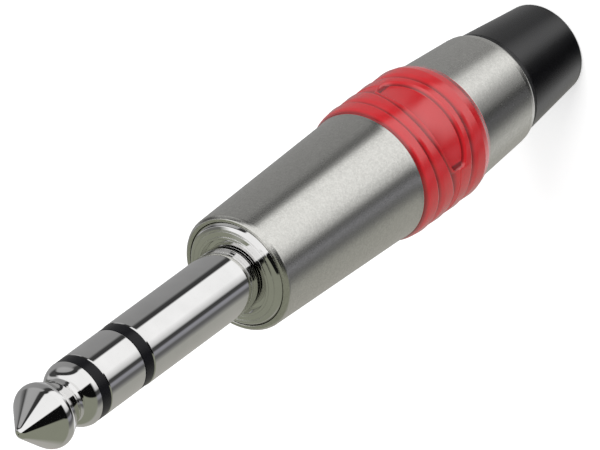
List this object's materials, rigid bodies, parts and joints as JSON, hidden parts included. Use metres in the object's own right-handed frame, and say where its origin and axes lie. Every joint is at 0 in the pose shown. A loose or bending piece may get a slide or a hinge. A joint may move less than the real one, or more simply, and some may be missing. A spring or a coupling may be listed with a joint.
{
  "type": "stereo jack plug",
  "caption": "Quarter-inch stereo jack plug for a cable: three-pole contact finger, tapered metal housing with a coloured ring, and a screw-on boot that clamps the cable.",
  "frame": {"origin": "centre of the boot's flat end face, the lowest point of the plug as it stands", "axes": "+Z along the plug's axis from the cable end to the tip, -Y through the middle of the ring's label window"},
  "size_m": [0.0136, 0.0136, 0.0798],
  "materials": {
    "nickel_polished": "polished nickel plate",
    "nickel_satin": "satin nickel plate with a fine grain",
    "band_black": "smooth moulded",
    "insulation": "smooth moulded",
    "terminal_metal": "tinned",
    "coding_red": "satin, soft",
    "chuck_plastic": "moulded",
    "nut_black": "moulded",
    "boot_black": "semi-matt, soft"
  },
  "bodies": {
    "shell": {"housing": "nickel_satin", "coding_ring": "coding_red"},
    "cable_chuck": {"chuck": "chuck_plastic"},
    "cable_boot": {"clamp_nut": "nut_black", "boot": "boot_black"},
    "terminal_sleeve": {"insulating_sleeve": "insulation"},
    "contact_finger": {"tip_contact": "nickel_polished", "tip_insulator": "band_black", "inner_insulating_tube": "insulation", "ring_contact": "nickel_polished", "ring_insulator": "band_black", "outer_insulating_tube": "insulation", "sleeve_contact": "nickel_polished", "ground_lug": "terminal_metal", "rear_insulator": "insulation", "ring_lug": "terminal_metal", "lug_insulator": "insulation", "tip_lug": "terminal_metal"}
  },
  "joints": [
    {"name": "chuck_travel", "type": "slide", "parent": "shell", "child": "cable_chuck", "axis": [0, 0, -1], "range_m": [0, 0.009]},
    {"name": "boot_turn", "type": "hinge", "parent": "cable_chuck", "child": "cable_boot", "pos_m": [0, 0, 0.012], "axis": [0, 0, -1], "range_deg": [0, 3240]},
    {"name": "finger_travel", "type": "slide", "parent": "shell", "child": "terminal_sleeve", "axis": [0, 0, 1], "range_m": [0, 0.004]},
    {"name": "finger_turn", "type": "hinge", "parent": "terminal_sleeve", "child": "contact_finger", "pos_m": [0, 0, 0.0444], "axis": [0, 0, 1], "range_deg": [0, 1920]}
  ],
  "couplings": [
    {"joint": "boot_turn", "follows": "chuck_travel", "rad_per_m": 6283.2},
    {"joint": "finger_turn", "follows": "finger_travel", "rad_per_m": 8377.6}
  ]
}
